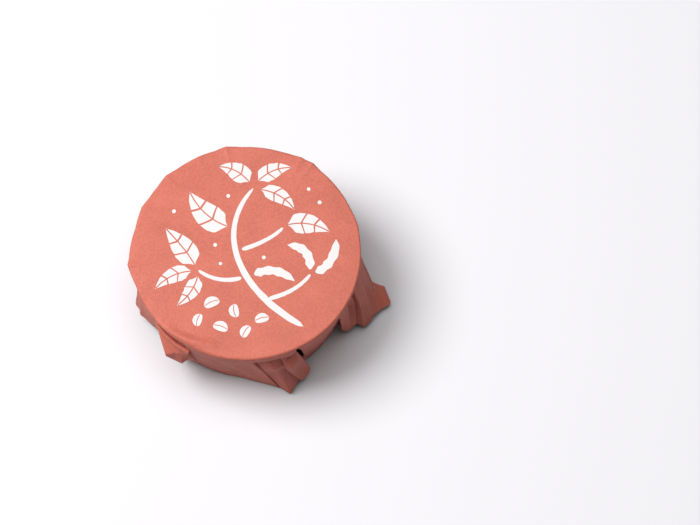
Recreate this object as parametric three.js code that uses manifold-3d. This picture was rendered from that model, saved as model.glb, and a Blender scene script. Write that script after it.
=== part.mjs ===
// A shut round tub of sweet bean paste under one sheet of paper, which is laid over the lid, pressed
// down the wall and gathered into pleats whose loose ends stand out as flaps.
// Millimetres, +Z up. The origin is on the floor, at the middle of the tub's foot.
// Angles are degrees in plan: 0 is the right-hand side, 90 the back, 270 the front.

import * as THREE from "three";
import Module from "manifold-3d";

// Driving sizes of the paper cover
const HEIGHT = 45; // floor to the flat top
const RIM_RADIUS = 52; // where the paper turns over the lid
const HEM_RADIUS = 44.8; // where it hugs the foot of the tub
const HEM_LIFT = 0.8; // the hem's clearance above the floor
const PAPER = 0.7; // thickness of the sheet's solid on the lid
const SKIRT_PAPER = 0.6; // and below the band, where it hangs from inside the band
const TURN = 1.1; // how far the turn over the lid reaches in and down
const BAND_HEIGHT = 39; // lower edge of the band that lies round the lid
const BAND_RADIUS = 51.4;
const TUCK_HEIGHT = 36.5; // where a pleat tucks in below the band
const KNEE_HEIGHT = 24; // heights of the two bends that a fold line may have
const EDGE_HEIGHT = 12;
const HANG = 0.2; // how far up the band the skirt starts, as a share of its height
const FOLD_LAP = 0.3; // how far the skirt's strips run into each other at a sharp fold
const DISC_INSET = 6; // the flat disc ends this far inside the rim
const STEP = 6; // widest step round the wall, in degrees
const PLEAT_START = 0.8; // how far apart the two folds of a pleat start on the rim, in degrees

// The lid's outline is drawn out a little where a pleat starts: [angle, how far]
const RIM_PEAKS = [
  [14, 0.5],
  [57, 1.0],
  [101, 0.8],
  [136, 1.0],
  [156, 0.6],
  [186, 1.7],
];
const PEAK_SPREAD = 5; // degrees over which a peak dies away
const RIM_SLACK = 0.25; // how far the rim falls short between the peaks

// Driving sizes of the tub
const FOOT_RADIUS = 43.4;
const FOOT_CHAMFER = 1;
const WALL_TOP_RADIUS = 46.2;
const LID_RADIUS = 50;
const LID_UNDERSIDE = 39.6;
const LID_TOP = 43.9;
const LID_CHAMFER = 1;
const TUB_SEGMENTS = 72;

// Fold lines of the skirt, in order round the tub. Each starts on the rim at the angle `rim` and
// runs down through tuck, knee and edge to the hem, each written [angle, radius, height] and left
// out where the line is straight. `fold` marks a line at which the sheet is sharply folded.
const hug = (rim) => ({ rim, hugs: true });

// A pleat pressed flat: the sheet laps over itself by `lap` degrees and stands `proud` of the wall.
function flatPleat(rim, swing, lap, proud) {
  const over = [rim + swing, HEM_RADIUS + proud, HEM_LIFT];
  const under = [rim + swing - lap, HEM_RADIUS + proud / 4, HEM_LIFT];
  return [
    hug(rim - lap),
    { rim: rim - PLEAT_START / 2, hem: over, fold: true },
    { rim: rim + PLEAT_START / 2, hem: under, fold: true },
    hug(rim + swing + lap),
  ];
}

// The pleats of the back
const BACK_FLAP_RIGHT = [
  hug(50),
  { rim: 54.6, hem: [60, 45.6, 1.2], fold: true },
  { rim: 55.4, hem: [49.5, 54, 7], fold: true },
  { rim: 58.5, knee: [58, 54, 22], hem: [57.5, 61, 3.5] },
  { rim: 62.5, knee: [63.5, 51.2, 24], hem: [64, 55.5, 6] },
  { rim: 65.6, hem: [69, 56.5, 7.5], fold: true },
  { rim: 66.4, hem: [67, 46.2, 1.4], fold: true },
  hug(74),
];
const BACK_FLAP_MIDDLE = [
  hug(93),
  { rim: 100.6, hem: [113, 51, 1], fold: true },
  { rim: 101.4, knee: [104, 49.2, 25], hem: [107, 46, 1.5], fold: true },
  { rim: 107, knee: [111, 51, 25], hem: [118.5, 56, 3] },
  { rim: 111.6, hem: [124, 51.5, 6], fold: true },
  { rim: 112.4, hem: [117, 45.8, 1.5], fold: true },
  hug(121),
];
const BACK_FLAP_LEFT = [
  hug(129),
  { rim: 133.6, hem: [139, 45.5, 1], fold: true },
  { rim: 134.4, hem: [129, 52.5, 6], fold: true },
  { rim: 137.5, knee: [137, 53, 21], hem: [136.5, 58, 4] },
  { rim: 141.1, hem: [144.5, 52.4, 7], fold: true },
  { rim: 141.9, hem: [143, 45.8, 1], fold: true },
  hug(149),
];

// The left flap: swung back over the wall, with a notched hem
const LEFT_FLAP = [
  hug(192),
  { rim: 196.6, hem: [200, 45.4, 1], fold: true },
  { rim: 197.4, hem: [191.4, 53.4, 5.5], fold: true },
  { rim: 199, hem: [195.6, 51.9, 6.5] },
  { rim: 200.5, hem: [196.9, 52.8, 5] },
  { rim: 203, hem: [199.9, 51, 5.5] },
  { rim: 207, hem: [204.6, 49.6, 6.5] },
  { rim: 210.5, hem: [208.2, 48.5, 7.5] },
];

// The left wing: a buckle that stands out below the band and turns back under to the foot
const LEFT_WING = [
  {
    rim: 213,
    tuck: [215.5, 50, 36.5],
    knee: [229.5, 56.3, 24],
    edge: [229.4, 55.6, 22],
    hem: [226, 46, 1],
    fold: true,
  },
  {
    rim: 222,
    tuck: [223, 49.9, 36.5],
    knee: [232.4, 51.4, 24],
    edge: [231.8, 52.9, 16],
    hem: [230, 45.4, 1],
  },
  {
    rim: 231,
    tuck: [231.5, 49.9, 36.5],
    knee: [236, 50.2, 27],
    edge: [234.1, 50.9, 10],
    hem: [233, 45.2, 1],
  },
  {
    rim: 238.5,
    tuck: [238.7, 50.2, 36],
    knee: [238.7, 49.7, 29],
    edge: [235.5, 47.2, 9],
    hem: [236, 44.9, 1],
    fold: true,
  },
];

// The front flap: the wall's panel laps over it on its left, and a ridge runs down its middle
const FRONT_FLAP = [
  hug(243),
  hug(262),
  { rim: 273.4, hem: [286, 51.8, 1], fold: true },
  {
    rim: 274.2,
    tuck: [273.5, 50, 36.5],
    knee: [277.5, 49.2, 25],
    hem: [280.5, 45.9, 1.6],
    fold: true,
  },
  { rim: 281, tuck: [281.5, 50.2, 36.5], knee: [285, 50.9, 25], hem: [290.3, 56.9, 2] },
  { rim: 288, tuck: [288.3, 50.6, 36.5], knee: [290.4, 50.9, 26], hem: [297, 53.8, 6] },
  { rim: 292.5, knee: [294.5, 50.1, 26], hem: [301.5, 53.2, 7] },
  { rim: 295.9, hem: [303.7, 51.6, 9], fold: true },
  {
    rim: 296.7,
    tuck: [295.2, 49, 36.5],
    knee: [295.5, 47.4, 24],
    hem: [297.5, 45.8, 2],
    fold: true,
  },
  { rim: 299, tuck: [299.5, 49.5, 36.5], knee: [302.5, 47.6, 22], hem: [306, 44.9, 1] },
  hug(304.5),
];

// The right-hand fan: three ridges, the last and longest flaring out from a knee
const RIGHT_FAN = [
  hug(320),
  { rim: 324.6, knee: [331, 48.6, 24], hem: [337, 45.3, 1], fold: true },
  { rim: 325.4, hem: [330.5, 49.8, 8], fold: true },
  { rim: 327, hem: [331.2, 51.6, 7.5] },
  { rim: 331.5, hem: [334.6, 53.6, 7.5] },
  { rim: 337, hem: [337.4, 54.2, 8] },
  { rim: 339.6, hem: [338.2, 55.4, 7] },
  { rim: 341.3, hem: [339, 54.8, 7], fold: true },
  { rim: 342.6, hem: [338.4, 57.1, 4], fold: true },
  { rim: 352, knee: [349.5, 57, 19], hem: [344.6, 59.8, 4] },
  { rim: 357, knee: [353, 58.2, 18], hem: [352, 66.5, 3] },
  { rim: 361.6, knee: [355.5, 58, 16], hem: [358.6, 62.8, 5], fold: true },
  { rim: 362.4, hem: [366.5, 46.2, 1.5], fold: true },
];

const FOLD_LINES = [
  ...flatPleat(14, 7, 5, 2.2),
  ...BACK_FLAP_RIGHT,
  ...BACK_FLAP_MIDDLE,
  ...BACK_FLAP_LEFT,
  ...flatPleat(156, 6, 5, 3.4),
  ...flatPleat(186, 3, 3, 2),
  ...LEFT_FLAP,
  ...LEFT_WING,
  ...FRONT_FLAP,
  ...RIGHT_FAN,
];

// Rows of points on a fold line, from the flat disc down to the hem
const ROWS = ["disc", "turnIn", "rim", "band", "tuck", "knee", "edge", "hem"];
const TUCK_ROW = ROWS.indexOf("tuck");
const CAP_ROWS = TUCK_ROW; // the rows from the disc to the band
const RISE_OF_NORMAL = [90, 67.5, 22.5, 0]; // which way the sheet faces in those rows

const onCircle = (angle, radius, height) => {
  const a = THREE.MathUtils.degToRad(angle);
  return new THREE.Vector3(radius * Math.cos(a), radius * Math.sin(a), height);
};
const angleBetween = (a, b) => Math.abs(((a - b + 540) % 360) - 180);

function rimRadius(angle) {
  let radius = RIM_RADIUS - RIM_SLACK - PAPER / 2;
  for (const [peak, proud] of RIM_PEAKS)
    radius += proud * Math.exp(-angleBetween(angle, peak) / PEAK_SPREAD);
  return radius;
}

// The cone of the wall between the hem and the band
function wallRadius(height) {
  const share = (height - HEM_LIFT) / (BAND_HEIGHT - HEM_LIFT);
  return THREE.MathUtils.lerp(HEM_RADIUS, BAND_RADIUS, share) - PAPER / 2;
}

const HUG_HEIGHTS = {
  tuck: TUCK_HEIGHT,
  knee: KNEE_HEIGHT,
  edge: EDGE_HEIGHT,
  hem: HEM_LIFT,
};

// The points of one fold line, a row each. A bend that isn't given lies on the straight way down.
function pointsOf(line) {
  const rim = rimRadius(line.rim);
  const top = HEIGHT - PAPER / 2;
  const points = {
    disc: onCircle(line.rim, rim - DISC_INSET, top),
    turnIn: onCircle(line.rim, rim - TURN, top),
    rim: onCircle(line.rim, rim, top - TURN),
    band: onCircle(line.rim, BAND_RADIUS - PAPER / 2, BAND_HEIGHT),
  };
  for (const [row, height] of Object.entries(HUG_HEIGHTS)) {
    if (line.hugs) points[row] = onCircle(line.rim, wallRadius(height), height);
    else if (line[row]) points[row] = onCircle(...line[row]);
  }
  const lower = ROWS.slice(TUCK_ROW);
  lower.forEach((row, i) => {
    if (points[row]) return;
    const above = points[ROWS[TUCK_ROW + i - 1]];
    const below = points[lower.slice(i).find((name) => points[name])];
    const drop = above.z - below.z;
    const height = Math.min(HUG_HEIGHTS[row], above.z - drop / (lower.length - i));
    points[row] = above.clone().lerp(below, (above.z - height) / drop);
  });
  return ROWS.map((row) => points[row]);
}

// Round the lid and on the hugging wall the sheet is curved, and elsewhere it is flat between folds
function between(a, b, share, round) {
  if (!round) return a.clone().lerp(b, share);
  const turn = (Math.atan2(b.y, b.x) - Math.atan2(a.y, a.x) + 3 * Math.PI) % (2 * Math.PI);
  const angle = Math.atan2(a.y, a.x) + (turn - Math.PI) * share;
  const radius = THREE.MathUtils.lerp(Math.hypot(a.x, a.y), Math.hypot(b.x, b.y), share);
  const height = THREE.MathUtils.lerp(a.z, b.z, share);
  return new THREE.Vector3(radius * Math.cos(angle), radius * Math.sin(angle), height);
}

// The columns of points from one fold line up to the next
function columnsBetween(line, next) {
  const from = pointsOf(line);
  const to = pointsOf(next);
  const steps = Math.max(1, Math.ceil((next.rim - line.rim) / STEP));
  const bothHug = line.hugs && next.hugs;
  return Array.from({ length: steps + 1 }, (_, i) =>
    from.map((point, row) => between(point, to[row], i / steps, bothHug || row < TUCK_ROW)),
  );
}

// The sheet cut at its folds: each strip is a smooth run of columns
function stripsOfSheet() {
  const start = FOLD_LINES.findIndex((line) => line.fold);
  const lines = [...FOLD_LINES.slice(start), ...FOLD_LINES.slice(0, start + 1).map(oneTurnOn)];
  const strips = [];
  lines.slice(0, -1).forEach((line, i) => {
    if (line.fold) strips.push([]);
    const strip = strips.at(-1);
    const columns = columnsBetween(line, lines[i + 1]);
    strip.push(...(strip.length ? columns.slice(1) : columns));
  });
  return strips;
}

// The same line, reached after a full turn
function oneTurnOn(line) {
  const turned = { ...line, rim: line.rim + 360 };
  for (const row of Object.keys(HUG_HEIGHTS))
    if (line[row]) turned[row] = [line[row][0] + 360, line[row][1], line[row][2]];
  return turned;
}

const wasm = await Module();
wasm.setup();

function solidOf(vertices, triangles) {
  return new wasm.Manifold(
    new wasm.Mesh({
      numProp: 3,
      vertProperties: new Float32Array(vertices.flatMap((v) => [v.x, v.y, v.z])),
      triVerts: new Uint32Array(triangles.flat()),
    }),
  );
}

// The triangles of a thick sheet on a grid of columns: its outer side, its inner side and its edges.
// A closed grid runs round to its first column again.
function sheetTriangles(columnCount, rowCount, closed) {
  const count = columnCount * rowCount;
  const at = (c, r) => (c % columnCount) * rowCount + r;
  const triangles = [];
  const quad = (a, b, c, d) => triangles.push([a, b, c], [a, c, d]);
  const across = closed ? columnCount : columnCount - 1;
  for (let c = 0; c < across; c++) {
    for (let r = 0; r + 1 < rowCount; r++) {
      const [a, b, d, e] = [at(c, r), at(c, r + 1), at(c + 1, r + 1), at(c + 1, r)];
      quad(a, b, d, e);
      triangles.push([count + a, count + d, count + b], [count + a, count + e, count + d]);
    }
    const [a, b] = [at(c, rowCount - 1), at(c + 1, rowCount - 1)];
    quad(b, a, count + a, count + b);
    if (!closed) quad(at(c, 0), at(c + 1, 0), count + at(c + 1, 0), count + at(c, 0));
  }
  if (!closed)
    for (let r = 0; r + 1 < rowCount; r++) {
      const [a, b] = [at(0, r), at(0, r + 1)];
      const [d, e] = [at(columnCount - 1, r), at(columnCount - 1, r + 1)];
      quad(b, a, count + a, count + b);
      quad(d, e, count + e, count + d);
    }
  return triangles;
}

// Each point of a grid moved out along its normal, and then each moved in
function bothSides(grid, normals, thickness) {
  const side = (sign) =>
    grid.flatMap((column, c) =>
      column.map((p, r) => p.clone().addScaledVector(normals[c][r], (sign * thickness) / 2)),
    );
  return [...side(1), ...side(-1)];
}

// The sheet from the middle of the top to the band's lower edge, all in one piece
function cap(strips) {
  const grid = strips.flatMap((strip) => strip.slice(0, -1).map((column) => column.slice(0, CAP_ROWS)));
  const normals = grid.map((column) =>
    column.map(({ x, y }, row) => {
      const rise = THREE.MathUtils.degToRad(RISE_OF_NORMAL[row]);
      return new THREE.Vector3(x, y, 0).normalize().multiplyScalar(Math.cos(rise)).setZ(Math.sin(rise));
    }),
  );
  const vertices = bothSides(grid, normals, PAPER);
  const triangles = sheetTriangles(grid.length, CAP_ROWS, true);
  const half = vertices.length / 2;
  for (let c = 0; c < grid.length; c++) {
    const [a, b] = [c * CAP_ROWS, ((c + 1) % grid.length) * CAP_ROWS];
    triangles.push([a, b, vertices.length], [half + b, half + a, vertices.length + 1]);
  }
  vertices.push(new THREE.Vector3(0, 0, HEIGHT), new THREE.Vector3(0, 0, HEIGHT - PAPER));
  return solidOf(vertices, triangles);
}

// The average normal of a strip's cells at each of its points
function normalsOf(grid) {
  const normals = grid.map((column) => column.map(() => new THREE.Vector3()));
  for (let c = 0; c + 1 < grid.length; c++)
    for (let r = 0; r + 1 < grid[c].length; r++) {
      const across = grid[c + 1][r + 1].clone().sub(grid[c][r]);
      const along = grid[c][r + 1].clone().sub(grid[c + 1][r]);
      const normal = along.cross(across).normalize();
      const corners = [
        [c, r],
        [c + 1, r],
        [c, r + 1],
        [c + 1, r + 1],
      ];
      for (const [i, j] of corners) normals[i][j].add(normal);
    }
  return normals.map((column) => column.map((n) => n.normalize()));
}

// A strip of the skirt. It hangs from inside the band, and at its sides it reaches a little past
// the folds, into the strips beside it.
function skirtStrip(strip) {
  const hung = strip.map((column) => {
    const [rim, band, ...below] = column.slice(CAP_ROWS - 2);
    return [band.clone().lerp(rim, HANG), ...below];
  });
  const pastFold = (column, inner) =>
    column.map((p, row) => p.clone().addScaledVector(p.clone().sub(inner[row]).normalize(), FOLD_LAP));
  const first = pastFold(hung[0], hung[1]);
  const last = pastFold(hung.at(-1), hung.at(-2));
  const grid = [first, ...hung.slice(1, -1), last];
  const vertices = bothSides(grid, normalsOf(grid), SKIRT_PAPER);
  return solidOf(vertices, sheetTriangles(grid.length, grid[0].length, false));
}

function joined(solids) {
  if (solids.length === 1) return solids[0];
  const half = Math.ceil(solids.length / 2);
  return joined(solids.slice(0, half)).add(joined(solids.slice(half)));
}

// The largest body, without the slits that joined layers seal between them
function outerBody(solid) {
  const bodies = solid.decompose();
  return bodies.reduce((a, b) => (b.volume() > a.volume() ? b : a));
}

function geometryOf(solid) {
  const { vertProperties, numProp, triVerts } = solid.getMesh();
  const vertices = new Float32Array((vertProperties.length / numProp) * 3);
  for (let i = 0; i < vertices.length / 3; i++)
    vertices.set(vertProperties.subarray(i * numProp, i * numProp + 3), i * 3);
  const geometry = new THREE.BufferGeometry();
  geometry.setAttribute("position", new THREE.BufferAttribute(vertices, 3));
  geometry.setIndex(new THREE.BufferAttribute(triVerts, 1));
  return geometry;
}

function paperCover() {
  const strips = stripsOfSheet();
  const geometry = geometryOf(outerBody(joined([cap(strips), ...strips.map(skirtStrip)])));
  const paper = new THREE.MeshStandardMaterial({ color: 0xc8644f, roughness: 0.9, metalness: 0 });
  const mesh = new THREE.Mesh(geometry, paper);
  mesh.name = "paper_cover";
  return mesh;
}

// The shut tub: foot, tapering wall and the lid that overhangs it
function tub() {
  const profile = [
    [0, 0],
    [FOOT_RADIUS - FOOT_CHAMFER, 0],
    [FOOT_RADIUS, FOOT_CHAMFER],
    [WALL_TOP_RADIUS, LID_UNDERSIDE],
    [LID_RADIUS, LID_UNDERSIDE],
    [LID_RADIUS, LID_TOP - LID_CHAMFER],
    [LID_RADIUS - LID_CHAMFER, LID_TOP],
    [0, LID_TOP],
  ].map(([radius, height]) => new THREE.Vector2(radius, height));
  const geometry = new THREE.LatheGeometry(profile, TUB_SEGMENTS);
  geometry.rotateX(Math.PI / 2);
  const plastic = new THREE.MeshStandardMaterial({ color: 0x1c1918, roughness: 0.45, metalness: 0 });
  const mesh = new THREE.Mesh(geometry, plastic);
  mesh.name = "tub";
  return mesh;
}

const group = new THREE.Group();
group.add(tub(), paperCover());

export default group;
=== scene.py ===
"""A shut round tub of sweet bean paste under a pleated paper cover, dressed over its solids.

The cover is one sheet of paper, laid over the lid, pressed down the wall and gathered into pleats.
Lengths in the tables are millimetres. Angles are degrees in plan: 0 is the right-hand side, 90 the
back, 270 the front.
"""

import math

import bmesh
import bpy
import numpy as np
from bpy.props import FloatProperty, FloatVectorProperty, PointerProperty
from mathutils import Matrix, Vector, noise


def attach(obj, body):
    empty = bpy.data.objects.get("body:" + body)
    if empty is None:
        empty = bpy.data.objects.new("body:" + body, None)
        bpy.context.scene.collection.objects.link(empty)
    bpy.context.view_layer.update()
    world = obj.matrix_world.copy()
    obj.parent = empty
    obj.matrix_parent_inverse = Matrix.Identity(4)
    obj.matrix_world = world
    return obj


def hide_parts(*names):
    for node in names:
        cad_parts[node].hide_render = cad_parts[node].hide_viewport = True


bl_info = {
    "name": "Paper-covered bean tub",
    "version": (1, 0, 0),
    "blender": (4, 5, 0),
    "location": "3D View > Sidebar > Bean Tub",
    "description": "Makes the folded paper cover, its print and the studio of a tub of bean paste",
    "category": "Add Mesh",
}

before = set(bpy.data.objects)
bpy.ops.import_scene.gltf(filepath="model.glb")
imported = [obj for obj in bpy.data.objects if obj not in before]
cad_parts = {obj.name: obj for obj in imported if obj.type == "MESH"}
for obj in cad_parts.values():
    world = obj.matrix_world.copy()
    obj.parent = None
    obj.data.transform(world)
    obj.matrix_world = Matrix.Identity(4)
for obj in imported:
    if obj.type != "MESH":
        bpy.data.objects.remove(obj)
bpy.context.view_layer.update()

MM = 0.001
BODY = "root"
# Points closer than this, in metres, are joined
JOINED = 1e-7

# Sizes of the paper cover, as in the part's source. The band is the rim's low turned-down side,
# the gutter and the tuck lie under it, and the knee and the edge are bends further down
HEIGHT = 45.0
RIM_RADIUS = 52.0
RIM_SLACK = 0.25
HEM_RADIUS = 44.8
HEM_LIFT = 0.8
TURN = 1.1
BAND_HEIGHT = 39.0
BAND_RADIUS = 51.4
UNDERCUT_HEIGHT = 41.5
GUTTER_HEIGHT = 37.8
TUCK_HEIGHT = 36.5
KNEE_HEIGHT = 24.0
EDGE_HEIGHT = 12.0
DISC_INSET = 6.0
WALL_INSET = 0.35
PLEAT_START = 0.8
# Corners of the rim: angle, and how far each stands out
RIM_PEAKS = [
    (17, 0.8),
    (55.5, 1.4),
    (61.5, 1.2),
    (101, 1.2),
    (116, 0.9),
    (135, 1.2),
    (155.4, 0.9),
    (187, 2.2),
]
# Where each row lies on paper that hugs the wall
HUG_HEIGHTS = {
    "gutter": GUTTER_HEIGHT,
    "tuck": TUCK_HEIGHT,
    "knee": KNEE_HEIGHT,
    "edge": EDGE_HEIGHT,
    "hem": HEM_LIFT,
}


def hug(rim):
    """A line straight down the wall, on which the sheet hugs the tub."""
    return {"rim": rim, "hugs": True}


def bend(rim, hem, **bends):
    """A line at which the sheet bends softly. Each bend is (angle, radius, height)."""
    return {"rim": rim, "hem": hem, **bends}


# Ridges and folds get the creases' paler line by default, partly rubbing and partly a painted
# highlight
def ridge(rim, hem, worn=1.0, **bends):
    """A line at which the sheet is creased, but doesn't lap over itself."""
    return bend(rim, hem, crisp=True, worn=worn, **bends)


def fold(rim, hem, **bends):
    """A line at which the sheet is sharply folded."""
    return ridge(rim, hem, fold=True, **bends)


def wing(rim, gutter, top, knee, edge, hem, worn=0.0):
    """A line of the left wing, which stands out from a gutter under the rim."""
    sharp = ("band", "gutter", "tuck", "knee", "edge")
    side = (rim, BAND_RADIUS, UNDERCUT_HEIGHT)
    bends = {"band": side, "gutter": gutter, "tuck": top, "knee": knee, "edge": edge}
    return ridge(rim, hem, worn, sharp=sharp, **bends)


def pinched(rim, gutter, knee, edge, hem, band=None):
    """A line of the front flap, drawn in under the rim and again below a crisp knee."""
    side = band or (rim, BAND_RADIUS, BAND_HEIGHT)
    return bend(rim, hem, band=side, gutter=gutter, knee=knee, edge=edge, sharp=("band", "knee"))


def flat_pleat(rim, swing, lap, proud):
    """A pleat pressed flat: it laps by lap degrees and stands proud of the wall."""
    return [
        hug(rim - lap),
        fold(rim - PLEAT_START / 2, (rim + swing, HEM_RADIUS + proud, HEM_LIFT)),
        fold(rim + PLEAT_START / 2, (rim + swing - lap, HEM_RADIUS + proud / 4, HEM_LIFT)),
        hug(rim + swing + lap),
    ]


# The sheet's lines in order round the tub. Each starts at an angle of the rim and runs down to
# the hem, given after it, by way of its bends
FOLD_LINES = [
    *flat_pleat(14, 7, 5, 2.2),
    # The pleats of the back
    hug(50),
    fold(54.6, (60, 45.6, 1.2)),
    fold(55.4, (49.5, 54, 7)),
    ridge(60, (57.5, 61, 3.5), knee=(58.5, 54, 22)),
    bend(62.5, (64, 55.5, 6), knee=(63.5, 51.2, 24)),
    fold(65.6, (69, 56.5, 7.5)),
    fold(66.4, (67, 46.2, 1.4)),
    hug(74),
    hug(93),
    fold(100.6, (113, 51, 1)),
    fold(101.4, (107, 46, 1.5), knee=(104, 49.2, 25)),
    ridge(107, (118.5, 56, 3), knee=(111, 51, 25)),
    fold(111.6, (124, 51.5, 6)),
    fold(112.4, (117, 45.8, 1.5)),
    hug(121),
    hug(129),
    fold(133.6, (139, 45.5, 1)),
    fold(134.4, (129, 52.5, 6)),
    ridge(137.5, (136.5, 58, 4), knee=(137, 53, 21)),
    fold(141.1, (144.5, 52.4, 7)),
    fold(141.9, (143, 45.8, 1)),
    hug(149),
    *flat_pleat(156, 6, 5, 3.4),
    *flat_pleat(186, 3, 3, 2),
    # The left flap, swung back over the wall, with a notched hem
    fold(196.6, (200, 45.4, 1)),
    fold(197.4, (191.4, 53.4, 5.5)),
    bend(199, (195.6, 51.9, 6.5)),
    bend(200.5, (196.9, 52.8, 5)),
    bend(203, (199.9, 51, 5.5)),
    bend(207, (204.6, 49.6, 6.5)),
    bend(210.5, (208.2, 48.5, 7.5)),
    bend(214, (211.6, 47.4, 6.5)),
    # The left wing: it stands out from a gutter under the rim as far as a crisp knee, and turns
    # back under to the foot
    wing(
        215.6,
        gutter=(217.5, 50.4, 37.5),
        top=(219.3, 51.4, 38.4),
        knee=(231.2, 57.4, 30),
        edge=(230.5, 56.8, 27.5),
        hem=(226, 46, 1),
        worn=1.0,
    ),
    wing(
        223,
        gutter=(224.5, 48.8, 34.5),
        top=(225.9, 52.1, 38),
        knee=(234.3, 54.3, 33.4),
        edge=(234.1, 55.9, 26.7),
        hem=(228.5, 45.2, 1),
    ),
    wing(
        231,
        gutter=(232, 48.6, 34),
        top=(233.1, 52.5, 37.6),
        knee=(237.1, 53.2, 33.8),
        edge=(238.2, 54.9, 25.5),
        hem=(231.5, 45, 1),
    ),
    wing(
        238.5,
        gutter=(240, 49, 35.5),
        top=(240.9, 52.5, 37),
        knee=(240, 52.6, 33.5),
        edge=(239.2, 51.4, 27),
        hem=(236, 44.9, 1),
        worn=1.0,
    ),
    hug(240),
    # The front flap, with the wall's panel lapped over its left side. Two creases meet at its hem
    hug(244),
    hug(262),
    fold(273.4, (286, 51.8, 1), knee=(277.8, 51.6, 28)),
    fold(
        274.2,
        hem=(285.6, 51, 1.5),
        gutter=(274.5, 49.8, 36.5),
        knee=(278, 50.9, 29),
        edge=(282, 50.9, 15),
    ),
    pinched(
        281,
        gutter=(281.3, 50.4, 37),
        knee=(284.3, 53.4, 31.5),
        edge=(286, 51.6, 25),
        hem=(290.3, 56.9, 2),
    ),
    fold(
        287,
        hem=(298, 51.6, 5),
        gutter=(288, 49.4, 36.5),
        knee=(291, 51.2, 28),
        edge=(292.8, 50.4, 22),
    ),
    fold(
        287.8,
        hem=(297.2, 53.9, 6),
        gutter=(288.2, 50.8, 37.6),
        knee=(290, 53.4, 28),
        edge=(292.3, 53.6, 20),
    ),
    pinched(
        292,
        gutter=(291.9, 49.6, 36),
        knee=(292.1, 54.4, 30.5),
        edge=(294.2, 53.7, 23),
        hem=(301.5, 52.9, 7),
        band=(292.6, 51.6, 37.6),
    ),
    fold(
        295.9,
        hem=(303.7, 51.6, 9),
        gutter=(296.6, 50.3, 37.6),
        tuck=(297.2, 51, 36.2),
        knee=(298.4, 51.8, 32.5),
    ),
    # Under the flap's right side, and the two lines between which the slit lies
    fold(
        296.7,
        hem=(297.5, 45.8, 2),
        band=(297.2, 50.2, 39.5),
        tuck=(294.6, 47.6, 35),
        knee=(294.5, 46.6, 24),
    ),
    bend(
        298.2,
        hem=(299.5, 45, 2),
        band=(298.2, 49.8, 39),
        tuck=(295.6, 47.2, 34),
        knee=(296, 46.2, 24),
    ),
    ridge(
        299.6,
        hem=(306, 44.9, 1),
        band=(299.4, 51.3, 39.5),
        tuck=(299.6, 50.7, 36.5),
        knee=(301.8, 48.9, 24),
    ),
    hug(305.5),
    # The right-hand fan of ridges, the last flaring out from a low knee
    hug(320),
    fold(324.6, (337, 45.3, 1), knee=(331, 48.6, 24)),
    fold(325.4, (330.7, 49.6, 8)),
    bend(328.5, (331.9, 51.7, 7)),
    bend(332.4, (332.6, 52.3, 7.5), tuck=(332.6, 51.4, 36.5), knee=(333.8, 52, 24)),
    ridge(335.8, (334.9, 53.1, 8), tuck=(335.6, 50, 36), knee=(337.4, 49.4, 25)),
    ridge(338.2, (336.6, 54.1, 8.5), tuck=(338.3, 51.3, 36.5), knee=(339.7, 52.2, 26)),
    ridge(339.7, (337.3, 52.2, 9), tuck=(340.2, 49.7, 36), knee=(341.2, 49.6, 25)),
    ridge(341.4, (338.3, 57.4, 4), tuck=(341, 52, 36.5), knee=(340.3, 54.6, 26)),
    bend(347, (341.7, 59.4, 4.5), knee=(344.8, 57, 24)),
    bend(350.5, (344.2, 59.9, 6), knee=(348.2, 56.6, 14)),
    ridge(354, (347.8, 62, 4), knee=(350.2, 59.4, 8), sharp=("knee",)),
    bend(357.6, (352, 66.5, 3), knee=(353.9, 58, 10), sharp=("knee",)),
    fold(361.6, (358.6, 62.8, 5), knee=(357.6, 57.3, 11), sharp=("knee",)),
    fold(362.4, (366.5, 46.2, 1.5)),
]

# How finely the sheet is divided: columns across, and rows from the middle of the top down
COLUMN_STEP = 1.3
CREASE_WIDTH = 0.45
TOP_RINGS = [0, 6, 13, 19, 24, 28, 31, 34, 36.5, 38.5, 40, 41.3, 42.4, 43.4, 44.4]
ROWS_TO_TURN = 6
ROWS_ROUND_TURN = 4
ROWS_DOWN = {"band": 4, "gutter": 3, "tuck": 3, "knee": 9, "edge": 8, "hem": 9}
ROW_NAMES = ["disc", "turn_in", "rim", "band", "gutter", "tuck", "knee", "edge", "hem"]
ROUND_ROWS = ("disc", "turn_in", "rim", "band")
TURN_ROW = len(TOP_RINGS) + ROWS_TO_TURN
RIM_ROW = TURN_ROW + ROWS_ROUND_TURN
BAND_ROW = RIM_ROW + ROWS_DOWN["band"]
TUCK_ROW = BAND_ROW + ROWS_DOWN["gutter"] + ROWS_DOWN["tuck"]
KNEE_ROW = TUCK_ROW + ROWS_DOWN["knee"]
LAYER_GAP = 0.5

# A slit beside the front flap, from just above the tuck to just below the knee, through which the
# near-black tub shows:
# painted shade, for the deep shadow in the recess between the pleat's layers. The angles lie a
# hair outside the two fold lines at its sides
SLIT_ANGLES = (298.19, 299.61)
SLIT_ROWS = range(TUCK_ROW - 1, KNEE_ROW + 4)


def on_circle(angle, radius, height):
    """A point at an angle round the tub, at a radius and a height."""
    turn = math.radians(angle)
    return np.array([radius * math.cos(turn), radius * math.sin(turn), height])


def angle_apart(a, b):
    """How far one angle lies from another, in degrees, with a sign."""
    return (a - b + 540) % 360 - 180


def rim_radius(angle):
    """The lid's outline: a circle, with straight runs to the corners where pleats start."""
    circle = RIM_RADIUS - RIM_SLACK
    radius = circle
    for peak, proud in RIM_PEAKS:
        away = abs(angle_apart(angle, peak))
        reach = math.degrees(math.acos(circle / (circle + proud)))
        if away < reach:
            radius = max(radius, circle / math.cos(math.radians(reach - away)))
    return radius


def wall_radius(height):
    """How far out the paper lies at a height of the wall, where it hugs the tub."""
    share = (height - HEM_LIFT) / (BAND_HEIGHT - HEM_LIFT)
    return HEM_RADIUS + (BAND_RADIUS - HEM_RADIUS) * share - WALL_INSET


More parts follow.
